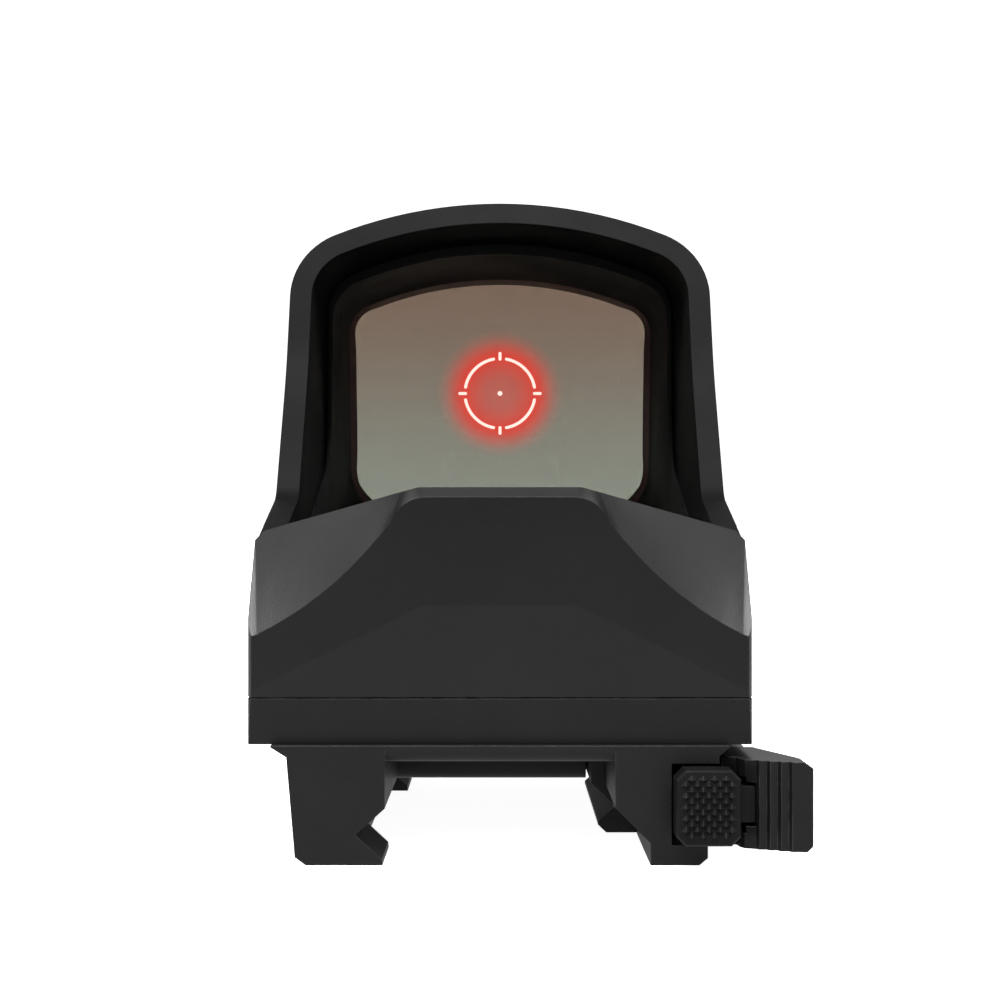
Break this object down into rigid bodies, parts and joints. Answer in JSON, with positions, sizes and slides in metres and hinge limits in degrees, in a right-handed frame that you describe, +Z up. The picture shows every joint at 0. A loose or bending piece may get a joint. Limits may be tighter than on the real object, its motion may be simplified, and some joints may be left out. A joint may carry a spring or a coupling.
{
  "type": "open reflex red dot sight",
  "caption": "Open reflex red dot finder with a hooded window, an adjustable emitter, a side battery tray and brightness buttons, on a quick-release rail clamp with a locking cam lever.",
  "frame": {"origin": "on the centre line of the rail, at the middle of the recoil lug, level with the undersides of the clamp's feet", "axes": "+Y forward along the line of sight, +X to the user's right, the lever's side, +Z up"},
  "size_m": [0.0428, 0.0874, 0.0559],
  "materials": {
    "mount_base": "black hard-anodised aluminium",
    "mount_screws": "blackened steel",
    "moving_jaw": "blackened steel",
    "jaw_guide_pin": "ground steel",
    "jaw_spring": "spring wire",
    "lever": "black hard-anodised aluminium",
    "lever_pin": "ground steel",
    "lock_button": "black hard-anodised aluminium, knurled",
    "lock_spring": "spring wire",
    "bottom_plate": "black hard-anodised aluminium",
    "plate_screws": "blackened steel",
    "base_gasket": "moulded seal",
    "main_housing": "black hard-anodised aluminium, fine blasted",
    "hood": "black coated shell, fine blasted",
    "hood_screws": "blackened steel",
    "lens_frame": "matt black anodised aluminium",
    "rear_element": "polished, faint warm mirror coating",
    "front_element": "polished, coated",
    "lens_gasket": "soft seal",
    "lens_retainer": "matt black anodised aluminium",
    "emitter_window": "polished",
    "solar_panel": "dark solar cell",
    "solar_cover": "clear cover",
    "elevation_dial": "black hard-anodised aluminium",
    "elevation_plunger": "ground steel",
    "windage_dial": "black hard-anodised aluminium",
    "windage_plunger": "ground steel",
    "adjuster_seals": "moulded seal",
    "guide_rods": "ground steel",
    "emitter_carriage": "machined",
    "emitter_block": "machined",
    "emitter_diode": "clear red lens over the die",
    "elevation_spring": "spring wire",
    "windage_spring": "spring wire",
    "circuit_board": "solder mask over fibre board",
    "board_screws": "plain steel",
    "board_parts": "moulded packages",
    "battery_contacts": "plated spring strip",
    "switch_board": "solder mask over fibre board",
    "dome_switches": "pressed steel",
    "battery_tray": "black hard-anodised aluminium",
    "tray_seal": "moulded seal",
    "tray_screws": "blackened steel",
    "battery": "plated steel can",
    "brightness_up_button": "matt rubber",
    "brightness_down_button": "matt rubber"
  },
  "bodies": {
    "sight": {"mount_base": "mount_base", "mount_screws": "mount_screws", "bottom_plate": "bottom_plate", "plate_screws": "plate_screws", "base_gasket": "base_gasket", "main_housing": "main_housing", "hood": "hood", "hood_screws": "hood_screws", "lens_frame": "lens_frame", "lens_gasket": "lens_gasket", "rear_element": "rear_element", "front_element": "front_element", "lens_retainer": "lens_retainer", "circuit_board": "circuit_board", "board_parts": "board_parts", "board_screws": "board_screws", "switch_board": "switch_board", "dome_switches": "dome_switches", "emitter_window": "emitter_window", "solar_panel": "solar_panel", "solar_cover": "solar_cover", "battery_contacts": "battery_contacts", "adjuster_seals": "adjuster_seals", "guide_rods": "guide_rods", "lever_pin": "lever_pin", "jaw_spring": "jaw_spring", "windage_spring": "windage_spring"},
    "jaw": {"moving_jaw": "moving_jaw", "jaw_guide_pin": "jaw_guide_pin"},
    "lever_arm": {"lever": "lever", "lock_spring": "lock_spring"},
    "lock": {"lock_button": "lock_button"},
    "up_button": {"brightness_up_button": "brightness_up_button"},
    "down_button": {"brightness_down_button": "brightness_down_button"},
    "windage_knob": {"windage_dial": "windage_dial"},
    "windage_pin": {"windage_plunger": "windage_plunger"},
    "elevation_knob": {"elevation_dial": "elevation_dial"},
    "elevation_pin": {"elevation_plunger": "elevation_plunger"},
    "carriage": {"emitter_carriage": "emitter_carriage", "elevation_spring": "elevation_spring"},
    "emitter": {"emitter_block": "emitter_block", "emitter_diode": "emitter_diode"},
    "tray": {"battery_tray": "battery_tray", "tray_seal": "tray_seal", "tray_screws": "tray_screws", "battery": "battery"}
  },
  "joints": [
    {"name": "lever_swing", "type": "hinge", "parent": "sight", "child": "lever_arm", "pos_m": [0.0161, 0.004, 0.0047], "axis": [0, 0, 1], "range_deg": [0, 105]},
    {"name": "jaw_slide", "type": "slide", "parent": "sight", "child": "jaw", "axis": [1, 0, 0], "range_m": [0, 0.002], "deforming": ["jaw_spring"]},
    {"name": "lock_press", "type": "slide", "parent": "lever_arm", "child": "lock", "axis": [0, 1, 0], "range_m": [0, 0.0015], "stiffness_N_per_m": 400, "springref_m": -0.001, "deforming": ["lock_spring"]},
    {"name": "brightness_up_press", "type": "slide", "parent": "sight", "child": "up_button", "axis": [1, 0, 0], "range_m": [0, 0.0006], "stiffness_N_per_m": 1500, "springref_m": -0.0003},
    {"name": "brightness_down_press", "type": "slide", "parent": "sight", "child": "down_button", "axis": [1, 0, 0], "range_m": [0, 0.0006], "stiffness_N_per_m": 1500, "springref_m": -0.0003},
    {"name": "windage_turn", "type": "hinge", "parent": "sight", "child": "windage_knob", "pos_m": [0.018, -0.004, 0.0196], "axis": [1, 0, 0], "range_deg": [-450, 450]},
    {"name": "windage_pin_slide", "type": "slide", "parent": "sight", "child": "windage_pin", "axis": [1, 0, 0], "range_m": [-0.0005, 0.0005]},
    {"name": "carriage_slide", "type": "slide", "parent": "sight", "child": "carriage", "axis": [1, 0, 0], "range_m": [-0.0005, 0.0005], "deforming": ["windage_spring"]},
    {"name": "elevation_turn", "type": "hinge", "parent": "sight", "child": "elevation_knob", "pos_m": [0, -0.004, 0.0275], "axis": [0, 0, 1], "range_deg": [-450, 450]},
    {"name": "elevation_pin_slide", "type": "slide", "parent": "sight", "child": "elevation_pin", "axis": [0, 0, 1], "range_m": [-0.0005, 0.0005]},
    {"name": "emitter_lift", "type": "slide", "parent": "carriage", "child": "emitter", "axis": [0, 0, 1], "range_m": [-0.0005, 0.0005], "deforming": ["elevation_spring"]},
    {"name": "battery_tray_slide", "type": "slide", "parent": "sight", "child": "tray", "axis": [1, 0, 0], "range_m": [0, 0.027]}
  ],
  "couplings": [
    {"joint": "jaw_slide", "follows": "lever_swing", "m_per_rad": 0.0010913},
    {"joint": "windage_turn", "follows": "carriage_slide", "rad_per_m": -15708},
    {"joint": "windage_pin_slide", "follows": "carriage_slide", "ratio": 1},
    {"joint": "elevation_turn", "follows": "emitter_lift", "rad_per_m": -15708},
    {"joint": "elevation_pin_slide", "follows": "emitter_lift", "ratio": 1}
  ]
}
